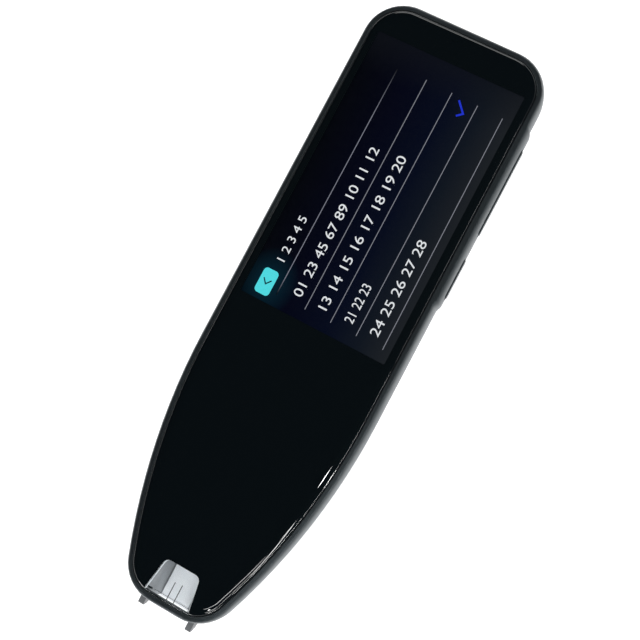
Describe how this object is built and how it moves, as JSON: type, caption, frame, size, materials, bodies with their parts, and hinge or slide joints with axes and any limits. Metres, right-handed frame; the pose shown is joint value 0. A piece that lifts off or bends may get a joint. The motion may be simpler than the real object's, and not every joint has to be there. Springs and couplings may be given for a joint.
{
  "type": "scanning pen",
  "caption": "Hand-held text scanning pen: long black glass touch screen, charcoal housing, side keys, clear tip window and press-to-scan nib",
  "frame": {"origin": "on the flat of the rear cover, under the middle of the cover glass", "axes": "+X to the side with the keys, +Y from the scanning tip to the butt end along the pen, +Z out of the screen"},
  "size_m": [0.0455, 0.1498, 0.013],
  "materials": {
    "black_glass": "polished black-backed cover glass",
    "clear_plastic": "polished, clear",
    "charcoal_plastic": "fine satin texture",
    "key_plastic": "satin",
    "grey_plastic": "plain moulded",
    "pale_plastic": "plain moulded",
    "white_plastic": "plain moulded",
    "screen": "smooth panel face",
    "circuit_board": "green lacquer",
    "sheet_steel": "thin pressed sheet",
    "spring_steel": "drawn wire",
    "chip_plastic": "dull black",
    "battery_foil": "dull foil pouch",
    "flex_film": "amber film",
    "lens_glass": "coated lens"
  },
  "bodies": {
    "body": {"backlight_unit": "sheet_steel", "battery": "battery_foil", "battery_connector": "white_plastic", "board_screw_1": "sheet_steel", "board_screw_2": "sheet_steel", "board_screw_3": "sheet_steel", "board_screw_4": "sheet_steel", "camera_board": "circuit_board", "camera_flex": "flex_film", "camera_housing": "chip_plastic", "charging_socket": "sheet_steel", "display_connector": "chip_plastic", "display_flex": "flex_film", "display_panel": "screen", "front_frame": "charcoal_plastic", "front_glass": "black_glass", "lens": "lens_glass", "lens_barrel": "chip_plastic", "light_board": "circuit_board", "light_plate": "white_plastic", "main_board": "circuit_board", "microphone": "sheet_steel", "nib_switch": "chip_plastic", "power_switch": "sheet_steel", "processor": "chip_plastic", "processor_shield": "sheet_steel", "radio_chip": "chip_plastic", "radio_shield": "sheet_steel", "rear_cover": "charcoal_plastic", "scan_lamp_left": "white_plastic", "scan_lamp_right": "white_plastic", "scan_throat": "pale_plastic", "speaker": "chip_plastic", "speaker_mesh": "sheet_steel", "tip_window": "clear_plastic", "volume_down_switch": "sheet_steel", "volume_up_switch": "sheet_steel"},
    "volume_rocker": {"volume_rocker": "key_plastic"},
    "power_button": {"power_button": "key_plastic"},
    "scan_nib": {"scan_nib": "grey_plastic", "nib_spring_left": "spring_steel", "nib_spring_right": "spring_steel"}
  },
  "joints": [
    {"name": "nib_press", "type": "slide", "parent": "body", "child": "scan_nib", "axis": [0, 1, 0], "range_m": [0, 0.001], "stiffness_N_per_m": 300, "springref_m": -0.001, "deforming": ["nib_spring_left", "nib_spring_right"]},
    {"name": "volume_rock", "type": "hinge", "parent": "body", "child": "volume_rocker", "pos_m": [0.01955, 0.0441, 0.0073], "axis": [0, 0, 1], "range_deg": [-1.6, 1.6], "stiffness_Nm_per_rad": 0.05},
    {"name": "power_press", "type": "slide", "parent": "body", "child": "power_button", "axis": [-1, 0, 0], "range_m": [0, 0.0003], "stiffness_N_per_m": 300, "springref_m": -0.0005}
  ]
}
